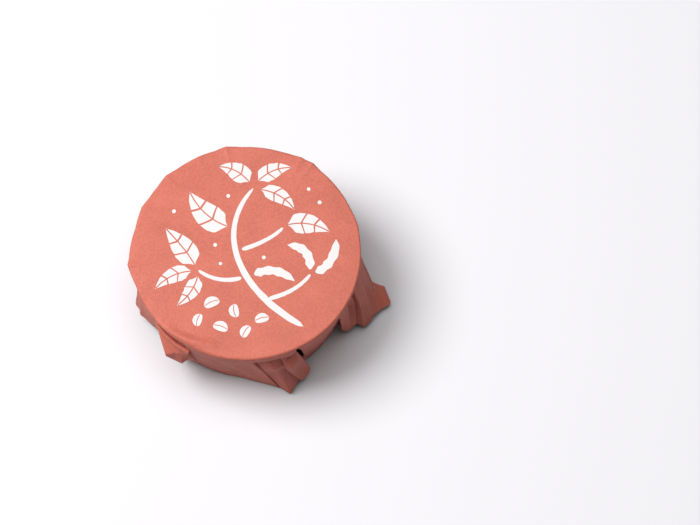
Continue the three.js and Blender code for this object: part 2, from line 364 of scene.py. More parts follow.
def line_points(line, skin):
    """The points of one fold line, a row each. skin is half the sheet's thickness."""
    rim = rim_radius(line["rim"]) - skin
    top = HEIGHT - skin
    points = {
        "disc": on_circle(line["rim"], rim - DISC_INSET, top),
        "turn_in": on_circle(line["rim"], rim - TURN, top),
        "rim": on_circle(line["rim"], rim, top - TURN),
        "band": on_circle(*line.get("band", (line["rim"], BAND_RADIUS - skin, BAND_HEIGHT))),
    }
    for row, height in HUG_HEIGHTS.items():
        if line.get("hugs"):
            points[row] = on_circle(line["rim"], wall_radius(height), height)
        elif row in line:
            points[row] = on_circle(*line[row])
    lower = list(HUG_HEIGHTS)
    for i, row in enumerate(lower):
        if row in points:
            continue
        above = points[ROW_NAMES[ROW_NAMES.index(row) - 1]]
        below = points[next(name for name in lower[i:] if name in points)]
        drop = above[2] - below[2]
        height = min(HUG_HEIGHTS[row], above[2] - drop / (len(lower) - i))
        points[row] = above + (below - above) * (above[2] - height) / drop
    return np.array([points[row] for row in ROW_NAMES])


def between(a, b, share, curved):
    """Points part of the way from one line to the next, round the tub where curved."""
    straight = a + (b - a) * share
    angle_a, angle_b = np.arctan2(a[:, 1], a[:, 0]), np.arctan2(b[:, 1], b[:, 0])
    turn = (angle_b - angle_a + 3 * math.pi) % (2 * math.pi) - math.pi
    angle = angle_a + turn * share
    radius = np.hypot(a[:, 0], a[:, 1]) * (1 - share) + np.hypot(b[:, 0], b[:, 1]) * share
    round_way = np.stack([radius * np.cos(angle), radius * np.sin(angle), straight[:, 2]], 1)
    return np.where(curved[:, None], round_way, straight)


def part_layers(lines, rows):
    """Keeps the two folds of a lapped pleat at least a layer's gap apart."""
    tuck = ROW_NAMES.index("tuck")
    for i in range(len(lines) - 1):
        if not (lines[i].get("fold") and lines[i + 1].get("fold")):
            continue
        first, second = rows[i], rows[i + 1]
        radii = [np.hypot(p[-1, 0], p[-1, 1]) for p in (first, second)]
        outer, inner = (first, second) if radii[0] > radii[1] else (second, first)
        for r in range(tuck, len(ROW_NAMES)):
            out, within = np.hypot(*outer[r, :2]), np.hypot(*inner[r, :2])
            short = LAYER_GAP - (out - within)
            if short > 0:
                outer[r, :2] *= (out + short / 2) / out
                inner[r, :2] *= (within - short / 2) / within


def sheet_columns(skin):
    """The sheet's columns of points, with marks for crisp and sharp places, and for creases that
    get the paler line of rubbing and painted highlight.
    """
    rows = [line_points(line, skin) for line in FOLD_LINES]
    part_layers(FOLD_LINES, rows)
    columns, creased, worn, sharp = [], [], [], []
    for i, line in enumerate(FOLD_LINES):
        following = FOLD_LINES[(i + 1) % len(FOLD_LINES)]
        a, b = rows[i], rows[(i + 1) % len(FOLD_LINES)]
        width = float(np.linalg.norm(b - a, axis=1).max())
        hugging = bool(line.get("hugs") and following.get("hugs"))
        curved = np.array([hugging or name in ROUND_ROWS for name in ROW_NAMES])
        near = CREASE_WIDTH / width
        start = near if line.get("crisp") else 0.0
        end = 1 - near if following.get("crisp") else 1.0
        steps = max(1, math.ceil(width * (end - start) / COLUMN_STEP))
        shares = [start + (end - start) * k / steps for k in range(steps + 1)]
        if start > 0:
            shares.insert(0, 0.0)
        if end == 1.0:
            shares.pop()
        for share in shares:
            columns.append(between(a, b, share, curved))
            by_start = line.get("crisp") and share <= start
            creased.append(bool(by_start or (following.get("crisp") and share >= end)))
            worn.append(line.get("worn", 0.0) if share == 0.0 else 0.0)
            stays = set(line.get("sharp", ()))
            if share > 0:
                stays &= set(following.get("sharp", ()))
            sharp.append([name in stays for name in ROW_NAMES])
    return np.array(columns), np.array(creased), np.array(worn), np.array(sharp)


def sheet_rows(columns):
    """Each column's points divided into the sheet's rows, from the middle of the top down."""
    disc = columns[:, 0]
    disc_radius = np.hypot(disc[:, 0], disc[:, 1]).mean()
    rows = []
    for ring in TOP_RINGS:
        share = ring / disc_radius
        rows.append(np.stack([disc[:, 0] * share, disc[:, 1] * share, disc[:, 2]], 1))
    turn_in, rim = columns[:, 1], columns[:, 2]
    for k in range(ROWS_TO_TURN + 1):
        rows.append(disc + (turn_in - disc) * k / ROWS_TO_TURN)
    for k in range(1, ROWS_ROUND_TURN + 1):
        angle = math.pi / 2 * k / ROWS_ROUND_TURN
        point = turn_in + (rim - turn_in) * math.sin(angle)
        point[:, 2] = rim[:, 2] + (turn_in[:, 2] - rim[:, 2]) * math.cos(angle)
        rows.append(point)
    for name, count in ROWS_DOWN.items():
        index = ROW_NAMES.index(name)
        above, below = columns[:, index - 1], columns[:, index]
        for k in range(1, count + 1):
            rows.append(above + (below - above) * k / count)
    return np.stack(rows, 1)


# How far the skirt's bends are rounded, from one column and one row to the next
SOFT_ACROSS = 0.5
SOFT_DOWN = 0.4
# Keeps a length from being nothing where two points meet
HAIR = 1e-6


def levelled(before, points, after):
    """Where the points would lie on straight lines from those before them to those after."""
    back = np.linalg.norm(points - before, axis=2, keepdims=True) + HAIR
    ahead = np.linalg.norm(after - points, axis=2, keepdims=True) + HAIR
    return (before * ahead + after * back) / (back + ahead)


def soften(grid, creased, sharp):
    """Rounds the bends of the skirt, but not its creases or the rows that stay sharp."""
    across = np.where(creased[:, None, None], 0.0, SOFT_ACROSS)
    down = np.full(grid.shape[:2], SOFT_DOWN)
    row = BAND_ROW
    for name in ("gutter", "tuck", "knee", "edge"):
        row += ROWS_DOWN[name]
        down[sharp[:, ROW_NAMES.index(name)], row] = 0.0
    level = levelled(np.roll(grid, 1, 0), grid, np.roll(grid, -1, 0))
    moved = grid + (level - grid) * across
    grid[:, BAND_ROW:] = moved[:, BAND_ROW:]
    inner = slice(BAND_ROW + 1, grid.shape[1] - 1)
    level = levelled(grid[:, BAND_ROW:-2], grid[:, inner], grid[:, BAND_ROW + 2 :])
    grid[:, inner] += (level - grid[:, inner]) * down[:, inner, None]
    return grid


# Unevenness of the flat top: height and size
TOP_BROAD = (0.10, 21.0)
TOP_FINE = (0.035, 6.0)
# Ripples by the rim: height, how close they stand, where they start and how far out they grow
RIPPLE_HEIGHT = 0.16
RIPPLE_CLOSENESS = 7.5
RIPPLE_START = 38.0
RIPPLE_GROWTH = 12.0
# A buckle of the top by the rim: its crest in plan, its height, and its reach inwards and outwards
RIM_BUCKLE = [
    (-36.5, -36.0),
    (-31.8, -39.7),
    (-27.4, -42.0),
    (-23.0, -43.5),
    (-17.0, -44.6),
    (-10.5, -45.2),
]
RIM_BUCKLE_HEIGHT = 2.0
RIM_BUCKLE_REACH = (3.2, 4.5)
# The top slopes down to the rim on two sides: middle angle, half width, inner radius, drop
SIDE_SLOPES = [(196.0, 42.0, 36.0, 0.7), (0.0, 75.0, 37.5, 1.25)]
# The sheet rests on the lid: how far it can sink, and where the lid's edge starts
LID_SINK = 0.78
LID_EDGE = 49.0
# Short wrinkles run in from the rim's corners: height, half width, length. Each ends at a few
# half widths to its side
CORNER_WRINKLE = (0.3, 1.3, 11.0)
WRINKLE_END = 3
# Low mounds and hollows of the top: x, y, reach, height
TOP_SWELLS = [
    (20.0, 38.5, 8.0, 0.22),
    (48.3, 6.0, 3.5, 0.16),
    (-40.0, -18.0, 9.0, 0.12),
    (-12.0, 10.0, 24.0, 0.35),
    (8.0, -30.0, 18.0, -0.15),
]


def buckle_at(x, y):
    """The share of the buckle's height at a point of the top."""
    nearest, side, along = math.inf, 1.0, 0.0
    point = Vector((x, y))
    count = len(RIM_BUCKLE) - 1
    for i in range(count):
        a, b = Vector(RIM_BUCKLE[i]), Vector(RIM_BUCKLE[i + 1])
        run = b - a
        share = (point - a).dot(run) / run.length_squared
        held = min(1.0, max(0.0, share))
        away = (point - a - run * held).length
        if away < nearest:
            nearest = away
            along = (i + share) / count
            inward = run.x * (y - a.y) - run.y * (x - a.x) > 0
            side = RIM_BUCKLE_REACH[0] if inward else RIM_BUCKLE_REACH[1]
    slope = max(0.0, 1 - nearest / side)
    fade = max(0.0, 1 - (2 * along - 1) ** 2)
    return slope * fade


def top_relief(x, y):
    """Height of the paper above or below the flat lid, in millimetres."""
    radius = math.hypot(x, y)
    angle = math.atan2(y, x)
    degrees = math.degrees(angle)
    height = TOP_BROAD[0] * noise.noise(Vector((x, y, 0)) / TOP_BROAD[1])
    height += TOP_FINE[0] * noise.noise(Vector((x, y, 40)) / TOP_FINE[1])
    for cx, cy, reach, rise in TOP_SWELLS:
        height += rise * math.exp(-((x - cx) ** 2 + (y - cy) ** 2) / reach**2)
    near_rim = max(0.0, min(1.0, (radius - RIPPLE_START) / RIPPLE_GROWTH))
    ripple = noise.noise(Vector((angle * RIPPLE_CLOSENESS, 3.1, radius / 60)))
    height += RIPPLE_HEIGHT * near_rim**2 * ripple
    for middle, half, inner, drop in SIDE_SLOPES:
        across = max(0.0, 1 - (angle_apart(degrees, middle) / half) ** 2)
        out = max(0.0, (radius - inner) / (RIM_RADIUS - inner))
        height -= drop * across * out**1.5
    rise, half, length = CORNER_WRINKLE
    for peak, proud in RIM_PEAKS:
        aside = math.radians(angle_apart(degrees, peak)) * radius / half
        if abs(aside) < WRINKLE_END:
            reach = max(0.0, 1 - (RIM_RADIUS - radius) / length)
            height += rise * proud * math.exp(-abs(aside) ** 1.5) * reach
    height += RIM_BUCKLE_HEIGHT * buckle_at(x, y)
    return max(height, -LID_SINK - max(0.0, radius - LID_EDGE))


def cell_crease(point, size):
    """A net of fine valleys between flat facets, from 0 in the valleys up to 1."""
    near = noise.voronoi(point / size)[0]
    return min(1.0, near[1] - near[0])


# Long creases pressed into the wall: from (angle, height) to (angle, height), depth
WALL_CREASES = [
    ((258.0, 38.0), (281.0, 4.0), 0.6),
    ((268.0, 38.0), (284.0, 9.0), -0.5),
    ((243.5, 30.0), (262.0, 3.0), 0.5),
    ((250.0, 38.0), (266.0, 14.0), -0.4),
    ((306.0, 30.0), (321.0, 12.0), 0.25),
    ((20.0, 36.0), (38.0, 8.0), 0.3),
    ((80.0, 36.0), (92.0, 6.0), -0.3),
    ((166.0, 35.0), (180.0, 6.0), 0.3),
]
# How far a crease reaches to each side, and how deep into its course it starts
CREASE_REACH = 3.2
CREASE_LEAD = 0.1
# Unevenness of the wall: height and size of its mounds and of its flat facets, where the net of
# facets lies, and how far all of it is set back
WALL_BROAD = (0.30, 13.0)
WALL_FACETS = (0.22, 15.0)
FACETS_FROM = Vector((5, 0, 9))
WALL_SETBACK = 0.1
# How many rows below the rim the wall's unevenness takes to set in
RELIEF_ROWS = 6


def wall_relief(x, y, z):
    """How far the skirt stands out from its flat folds, or in, in millimetres."""
    angle = math.degrees(math.atan2(y, x)) % 360
    radius = math.hypot(x, y)
    point = Vector((x, y, z))
    relief = WALL_BROAD[0] * noise.noise(point / WALL_BROAD[1])
    relief += WALL_FACETS[0] * cell_crease(point + FACETS_FROM, WALL_FACETS[1])
    relief -= WALL_SETBACK
    for (angle_a, z_a), (angle_b, z_b), depth in WALL_CREASES:
        scale = math.radians(1) * radius
        run = Vector(((angle_b - angle_a) * scale, z_b - z_a))
        here = Vector(((angle - angle_a) * scale, z - z_a))
        share = min(1.0, max(0.0, here.dot(run) / run.length_squared))
        away = (here - run * share).length
        if away < CREASE_REACH:
            course = math.sin(math.pi * min(1, CREASE_LEAD + share))
            relief += depth * (1 - away / CREASE_REACH) * course
    return relief


def add_relief(grid, crumple):
    """Moves each point of the sheet by its relief: up on the top, outwards on the skirt."""
    for column in grid:
        for r, (x, y, z) in enumerate(column):
            if r < BAND_ROW:
                down = max(0, r - TURN_ROW) / (BAND_ROW - TURN_ROW)
                column[r, 2] += top_relief(x, y) * (1 - down)
            if r > RIM_ROW:
                share = min(1.0, (r - RIM_ROW) / RELIEF_ROWS)
                radius = math.hypot(x, y)
                out = wall_relief(x, y, z) * crumple * share
                column[r, 0] += x / radius * out
                column[r, 1] += y / radius * out


def settings():
    """The sizes and colours that the user has set."""
    return bpy.context.scene.bean_tub


def new_piece(name, bm, material):
    """A mesh object of the finished bmesh, riding on the tub's body."""
    mesh = bpy.data.meshes.new(name)
    bm.to_mesh(mesh)
    bm.free()
    piece = bpy.data.objects.new(name, mesh)
    bpy.context.collection.objects.link(piece)
    mesh.materials.append(material)
    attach(piece, BODY)
    return piece


def new_material(name):
    """An empty procedural material: its node tree, its shader and its object coordinates."""
    material = bpy.data.materials.new(name)
    material.use_nodes = True
    tree = material.node_tree
    shader = next(n for n in tree.nodes if n.type == "BSDF_PRINCIPLED")
    place = tree.nodes.new("ShaderNodeTexCoord").outputs["Object"]
    return material, tree, shader, place


def noise_node(tree, place, size, detail=2.0, roughness=0.5, distortion=0.0, stretch=None):
    """A noise of features about size millimetres wide. stretch is a turn and a scale."""
    node = tree.nodes.new("ShaderNodeTexNoise")
    node.inputs["Scale"].default_value = 1 / (size * MM)
    node.inputs["Detail"].default_value = detail
    node.inputs["Roughness"].default_value = roughness
    node.inputs["Distortion"].default_value = distortion
    if stretch:
        mapping = tree.nodes.new("ShaderNodeMapping")
        mapping.inputs["Rotation"].default_value = stretch[0]
        mapping.inputs["Scale"].default_value = stretch[1]
        tree.links.new(place, mapping.inputs["Vector"])
        place = mapping.outputs["Vector"]
    tree.links.new(place, node.inputs["Vector"])
    return node.outputs["Fac"]


def spread(tree, value, old, new=(0.0, 1.0)):
    """A value's old range, from low to high, stretched to a new one."""
    node = tree.nodes.new("ShaderNodeMapRange")
    node.inputs["From Min"].default_value, node.inputs["From Max"].default_value = old
    node.inputs["To Min"].default_value, node.inputs["To Max"].default_value = new
    tree.links.new(value, node.inputs["Value"])
    return node.outputs["Result"]


def arithmetic(tree, operation, a, b):
    """The sum, product or larger of two values, each a number or a socket."""
    node = tree.nodes.new("ShaderNodeMath")
    node.operation = operation
    for socket, value in zip(node.inputs, (a, b)):
        if isinstance(value, (int, float)):
            socket.default_value = value
        else:
            tree.links.new(value, socket)
    return node.outputs[0]


def mix_colour(tree, factor, a, b):
    """A mix of two colours: all a where the factor is 0, and all b where it is 1."""
    node = tree.nodes.new("ShaderNodeMix")
    node.data_type = "RGBA"
    sockets = {"Factor_Float": factor, "A_Color": a, "B_Color": b}
    for socket in node.inputs:
        if socket.identifier not in sockets:
            continue
        value = sockets[socket.identifier]
        if isinstance(value, (int, float)):
            socket.default_value = value
        elif isinstance(value, (tuple, list)):
            socket.default_value = (*value[:3], 1.0)
        else:
            tree.links.new(value, socket)
    return next(o for o in node.outputs if o.identifier == "Result_Color")


def bump(tree, shader, height, strength, distance):
    """Gives the surface a fine relief. distance is in millimetres."""
    node = tree.nodes.new("ShaderNodeBump")
    node.inputs["Strength"].default_value = strength
    node.inputs["Distance"].default_value = distance * MM
    tree.links.new(height, node.inputs["Height"])
    tree.links.new(node.outputs["Normal"], shader.inputs["Normal"])


# How dark and how pale the paper's clouds and specks are, as shares of its colour, and a small
# lift of the pale ones
PAPER_DARK = 0.84
PAPER_PALE = 1.15
PAPER_LIFT = 0.014
# Two ways in which the paper's fibres lie: a turn, and a scale that is small along the fibre
FIBRE_WAYS = [((0, 0, 0.5), (1, 0.16, 1)), ((0, 0.3, -0.9), (0.16, 1, 1))]
# How much of a crease's paler colour shows: rubbed paper, and a painted highlight where the fold's
# edge catches light
WEAR_AND_HIGHLIGHT = 0.55


def cover_paper():
    """Matt red-brown paper: clouded colour, short fibres, and a paler line on each crease: partly
    rubbing, partly a painted highlight.
    """
    s = settings()
    material, tree, shader, place = new_material("cover_paper")
    dark = tuple(c * PAPER_DARK for c in s.paper_colour)
    pale = tuple(min(1.0, c * PAPER_PALE + PAPER_LIFT) for c in s.paper_colour)
    clouds = noise_node(tree, place, 15, detail=6, roughness=0.62)
    colour = mix_colour(tree, spread(tree, clouds, (0.3, 0.7), (0.05, 0.95)), dark, pale)
    speckle = noise_node(tree, place, 1, detail=4, roughness=0.8)
    speckle = spread(tree, speckle, (0.38, 0.62), (-0.12, 1.12))
    colour = mix_colour(tree, 0.5, colour, mix_colour(tree, speckle, dark, pale))
    ways = [
        noise_node(tree, place, 0.9, detail=3, roughness=0.6, distortion=0.6, stretch=way)
        for way in FIBRE_WAYS
    ]
    fibres = arithmetic(tree, "MAXIMUM", *ways)
    colour = mix_colour(tree, spread(tree, fibres, (0.6, 0.74), (0.0, 0.35)), colour, pale)
    # The paler line on the creases: partly rubbed paper, partly a painted highlight on the fold's
    # edge
    crease = tree.nodes.new("ShaderNodeAttribute")
    crease.attribute_name = "crease"
    worn = arithmetic(tree, "MULTIPLY", crease.outputs["Fac"], WEAR_AND_HIGHLIGHT)
    colour = mix_colour(tree, worn, colour, tuple(s.worn_colour))
    tree.links.new(colour, shader.inputs["Base Color"])
    shader.inputs["Roughness"].default_value = 0.62
    shader.inputs["Specular IOR Level"].default_value = 0.2
    tooth = noise_node(tree, place, 0.35, detail=3, roughness=0.65)
    grain = arithmetic(tree, "ADD", tooth, fibres)
    bump(tree, shader, grain, strength=0.35, distance=0.06)
    return material


# The tint of the ink where the paper's grain shows through
INK_THIN = (0.97, 0.93, 0.92)
# How much paler the tub's plastic is in its faint clouds, with a small lift
PLASTIC_PALE = 1.35
PLASTIC_LIFT = 0.002


def print_ink():
    """Matt white ink that lets a little of the paper's grain through."""
    material, tree, shader, place = new_material("white_print")
    white = tuple(settings().ink_colour)
    thin = tuple(c * tint for c, tint in zip(white, INK_THIN))
    grain = spread(tree, noise_node(tree, place, 0.5, detail=3, roughness=0.7), (0.3, 0.7))
    tree.links.new(mix_colour(tree, grain, thin, white), shader.inputs["Base Color"])
    shader.inputs["Roughness"].default_value = 0.7
    bump(tree, shader, grain, strength=0.2, distance=0.04)
    return material


def tub_plastic():
    """Dark satin plastic, faintly uneven as a moulded food tub is."""
    material, tree, shader, place = new_material("tub_plastic")
    base = tuple(settings().tub_colour)
    pale = tuple(c * PLASTIC_PALE + PLASTIC_LIFT for c in base)
    cloud = spread(tree, noise_node(tree, place, 14), (0.35, 0.65))
    tree.links.new(mix_colour(tree, cloud, base, pale), shader.inputs["Base Color"])
    gloss = spread(tree, noise_node(tree, place, 5, detail=3), (0.3, 0.7), (0.34, 0.46))
    tree.links.new(gloss, shader.inputs["Roughness"])
    bump(tree, shader, noise_node(tree, place, 0.8), strength=0.12, distance=0.03)
    return material


def cut_slit(bm, grid):
    """Takes the slit's faces out of the sheet while it is still a flat grid."""
    across, down = grid.shape[0], grid.shape[1] - 1
    rim = np.degrees(np.arctan2(grid[:, RIM_ROW, 1], grid[:, RIM_ROW, 0])) % 360
    in_slit = (rim > SLIT_ANGLES[0]) & (np.roll(rim, -1) < SLIT_ANGLES[1])
    opened = []
    for face in bm.faces:
        middle = face.calc_center_median()
        column, row = int((middle.x + 1) / 2 * across), int((middle.y + 1) / 2 * down)
        if in_slit[column] and row in SLIT_ROWS:
            opened.append(face)
    bmesh.ops.delete(bm, geom=opened, context="FACES")


def lay_paper_cover():
    """The sheet of paper, folded by its lines, as a thin closed shell."""
    s = settings()
    skin = s.paper_thickness / 2 / MM
    columns, creased, worn, sharp = sheet_columns(skin)
    grid = soften(sheet_rows(columns), creased, sharp)
    add_relief(grid, s.crumple)
    across, down = grid.shape[0], grid.shape[1] - 1
    bm = bmesh.new()
    bmesh.ops.create_grid(bm, x_segments=across, y_segments=down, size=1.0)
    # The slit lets the near-black tub show as painted shade for the deep recess beside the front
    # flap
    cut_slit(bm, grid)
    # Marks the crease columns for the paler line, partly rubbing and partly a painted highlight
    crease = bm.verts.layers.float.new("crease")
    for vert in bm.verts:
        column = round((vert.co.x + 1) / 2 * across) % across
        row = round((vert.co.y + 1) / 2 * down)
        vert[crease] = worn[column] if row > BAND_ROW else 0.0
        vert.co = Vector(grid[column, row]) * MM
    bmesh.ops.remove_doubles(bm, verts=bm.verts, dist=JOINED)
    bmesh.ops.recalc_face_normals(bm, faces=bm.faces)
    top = max(bm.faces, key=lambda f: f.calc_center_median().z)
    if top.normal.z < 0:
        bmesh.ops.reverse_faces(bm, faces=bm.faces)
    for face in bm.faces:
        face.smooth = True
    for edge in bm.edges:
        if edge.is_boundary:
            edge.smooth = False
    piece = new_piece("folded_paper_cover", bm, cover_paper())
    wall = piece.modifiers.new("paper_thickness", "SOLIDIFY")
    wall.thickness = s.paper_thickness
    wall.offset = 0.0
    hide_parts("paper_cover")


def bezier(points, t):
    """A point of a cubic curve and its direction there, a share t of the way along."""
    p0, p1, p2, p3 = (Vector(p) for p in points)
    u = 1 - t
    place = p0 * u**3 + p1 * 3 * u * u * t + p2 * 3 * u * t * t + p3 * t**3
    heading = (p1 - p0) * u * u + (p2 - p1) * 2 * u * t + (p3 - p2) * t * t
    return place, heading.normalized()


def printed_patch(bm, place, lift, across, along):
    """A patch of ink: place gives the plan point for shares (u, v), each from -1 to 1."""
    made = bmesh.ops.create_grid(bm, x_segments=along, y_segments=across, size=1.0)
    for vert in made["verts"]:
        x, y = place(vert.co.x, vert.co.y)
        vert.co = Vector((x, y, HEIGHT + top_relief(x, y) + lift)) * MM


# How rough a brushed edge is, coarsely and finely
BRUSH_COARSE = 0.13
BRUSH_FINE = 0.05
# How late a stroke draws in to its ends: a dot is round, and a stem only blunt at its tips
DOT_TAPER = 2
STEM_TAPER = 10
# Half the width of a leaf's bare veins, how far the side veins lean, and how rough its edge is
VEIN_HALF = 0.3
VEIN_LEAN = 0.16
LEAF_ROUGH = 0.10
# A leaf's outline: how near its stalk it is widest, and how full it is. Smaller is nearer and
# fuller
LEAF_BELLY = 0.72
LEAF_FULLNESS = 0.85


def brushed(points, widths, taper, seed):
    """A stroke along a curve, from its first width to its second, drawn in to its ends."""

    def place(u, v):
        share = (u + 1) / 2
        centre, heading = bezier(points, share)
        rough = 1 + BRUSH_COARSE * noise.noise(Vector((u * 9, v * 2, seed)))
        rough += BRUSH_FINE * noise.noise(Vector((u * 31, v, seed)))
        width = widths[0] + (widths[1] - widths[0]) * share
        half = width / 2 * max(0.0, 1 - abs(u) ** taper) ** 0.5 * rough
        return centre.x - heading.y * half * v, centre.y + heading.x * half * v

    return place


def leaf_part(points, width, start, end, side, seed):
    """One field of a leaf, between two of its slanted veins, on one side of the middle one."""

    def place(u, v):
        out = (v + 1) / 2
        share = start + (end - start) * (u + 1) / 2
        lean = min(1.0, share + VEIN_LEAN * out * (1 - share))
        centre, heading = bezier(points, lean)
        inside = 0 < lean < 1
        swell = math.sin(math.pi * lean**LEAF_BELLY) ** LEAF_FULLNESS if inside else 0.0
        rough = 1 + LEAF_ROUGH * noise.noise(Vector((lean * 11, side, seed)))
        half = (VEIN_HALF + (width / 2 * swell * rough - VEIN_HALF) * out) * side
        if width / 2 * swell < VEIN_HALF:
            half = VEIN_HALF * side * (1 - out)
        return centre.x - heading.y * half, centre.y + heading.x * half

    return place


# The fields of each half of a leaf: shares of its length
LEAF_FIELDS = [(0.02, 0.34), (0.38, 0.64), (0.68, 1.0)]
# The bean plant of the print, in plan. Stems: a curve, and the width at its start and end
STEMS = [
    ([(26, -36), (-2, -20), (-16, 8), (3, 31)], (3.4, 1.9)),
    ([(-1.9, -12.8), (-9, -15), (-16, -13.5), (-21.3, -9.2)], (2.2, 1.5)),
    ([(-2, 0.8), (5, 3), (12, 6.5), (16.5, 11.5)], (2.2, 1.5)),
    ([(10.2, -22.8), (18, -21), (25, -17), (29, -11)], (2.2, 1.5)),
]
# Leaves: a curve down the middle and the greatest width
LEAVES = [
    ([(4.8, 34.2), (8.5, 38.5), (14, 41.5), (20, 41)], 8.0),
    ([(1.2, 33.6), (-2, 38), (-7, 41.5), (-13, 41.5)], 9.0),
    ([(6, 30.2), (12, 29.5), (18, 26), (21.5, 20.5)], 7.5),
    ([(-8.2, 12), (-15, 14), (-22, 20), (-26, 29)], 12.0),
    ([(-22.8, -7), (-26, -1), (-31, 5), (-36.5, 11)], 10.5),
    ([(-24.2, -9.6), (-30, -9.8), (-36, -12.5), (-40.5, -18)], 7.5),
    ([(-21.6, -11.8), (-22.5, -17), (-25.5, -22), (-30.5, -26)], 7.0),
    ([(18.2, 12.8), (24, 14.5), (31, 14), (37.5, 9.5)], 10.0),
]
# Pods: a curve, its width and the number of beans that swell it
PODS = [
    ([(31.2, -10), (37, -8.5), (41, -1), (40.5, 6)], 4.4, 4),
    ([(28.8, -8.8), (29.5, -1), (25, 3), (18.5, 3)], 4.4, 4),
    ([(3.8, -11.4), (9, -8), (15.5, -8.4), (22, -14.5)], 4.4, 4),
]
# Loose beans: middle, turn and length
BEANS = [
    ((-15, -25), 25, 7.4),
    ((-4.5, -28.5), 100, 6.6),
    ((-11, -36.5), -20, 7.0),
    ((0.5, -38.5), 60, 6.4),
    ((-20.8, -33), 75, 6.2),
    ((7.5, -32.5), 15, 6.6),
]
# Dots: middle and width
DOTS = [
    ((-33, 19.5), 1.9),
    ((-14, 3), 1.8),
    ((8, -3), 1.8),
    ((-11.5, -6), 1.6),
    ((33, 24), 1.9),
    ((28, 30.5), 1.7),
    ((-8.5, 27), 1.8),
]
# How much the beans swell a pod, how rough its edge is, and how fast it grows from its stalk end
# and thins to its tip
POD_SWELL = 0.11
POD_ROUGH = 0.05
POD_STALK = 7
POD_TIP = 4.5
# A bean's half width and bow as shares of its length, half of its seam's width, and its roughness
BEAN_HALF = 0.34
BEAN_BOW = 0.10
SEAM_HALF = 0.20
BEAN_ROUGH = 0.04


def pod_shape(points, width, beans, seed):
    """A pod, swollen by its beans, with a stalk end and a thin curved tip."""

    def place(u, v):
        share = (u + 1) / 2
        centre, heading = bezier(points, share)
        swell = 1 - POD_SWELL + POD_SWELL * math.cos(2 * math.pi * (beans * share - 0.5))
        stalk_end = max(0.0, share * POD_STALK) ** 0.5
        tip = max(0.0, (1 - share) * POD_TIP) ** 0.8
        rough = 1 + POD_ROUGH * noise.noise(Vector((u * 5, 0, seed)))
        half = width / 2 * swell * min(1.0, stalk_end, tip) * rough
        return centre.x - heading.y * half * v, centre.y + heading.x * half * v

    return place


def bean_half(middle, turn, length, side, seed):
    """Half of a bean, on one side of the bare seam down its belly."""
    cos, sin = math.cos(math.radians(turn)), math.sin(math.radians(turn))

    def place(u, v):
        out = (v + 1) / 2
        bow = BEAN_BOW * length * (1 - u * u)
        half = BEAN_HALF * length * math.sqrt(max(0.0, 1 - u * u))
        inner = min(half, SEAM_HALF)
        across = side * (inner + (half - inner) * out) + bow
        rough = 1 + BEAN_ROUGH * noise.noise(Vector((u * 3, side, seed)))
        x, y = length / 2 * u * rough, across * rough
        return middle[0] + cos * x - sin * y, middle[1] + sin * x + cos * y

    return place


def print_bean_plant():
    """The white print on the top: a plain sprig of beans, thin closed fields of ink."""
    s = settings()
    lift = s.ink_thickness / MM
    bm = bmesh.new()
    seed = 0
    for points, widths in STEMS:
        seed += 1
        stem = brushed(points, widths, STEM_TAPER, seed)
        printed_patch(bm, stem, lift, across=2, along=48)
    for points, width in LEAVES:
        for side in (-1, 1):
            for start, end in LEAF_FIELDS:
                seed += 1
                field = leaf_part(points, width, start, end, side, seed)
                printed_patch(bm, field, lift, across=5, along=6)
    for points, width, beans in PODS:
        seed += 1
        printed_patch(bm, pod_shape(points, width, beans, seed), lift, across=4, along=60)
    for middle, turn, length in BEANS:
        for side in (-1, 1):
            seed += 1
            half = bean_half(middle, turn, length, side, seed)
            printed_patch(bm, half, lift, across=3, along=12)
    for (x, y), size in DOTS:
        seed += 1
        ends = [(x - size / 2, y), (x - size / 6, y), (x + size / 6, y), (x + size / 2, y)]
        dot = brushed(ends, (size, size), DOT_TAPER, seed)
        printed_patch(bm, dot, lift, across=2, along=8)
    bmesh.ops.remove_doubles(bm, verts=bm.verts, dist=JOINED)
    bmesh.ops.dissolve_degenerate(bm, edges=bm.edges, dist=JOINED)
    bm.normal_update()
    bmesh.ops.reverse_faces(bm, faces=[f for f in bm.faces if f.normal.z < 0])
    piece = new_piece("bean_plant_print", bm, print_ink())
    ink = piece.modifiers.new("ink_thickness", "SOLIDIFY")
    ink.thickness = s.ink_thickness * 2
    ink.offset = -1.0


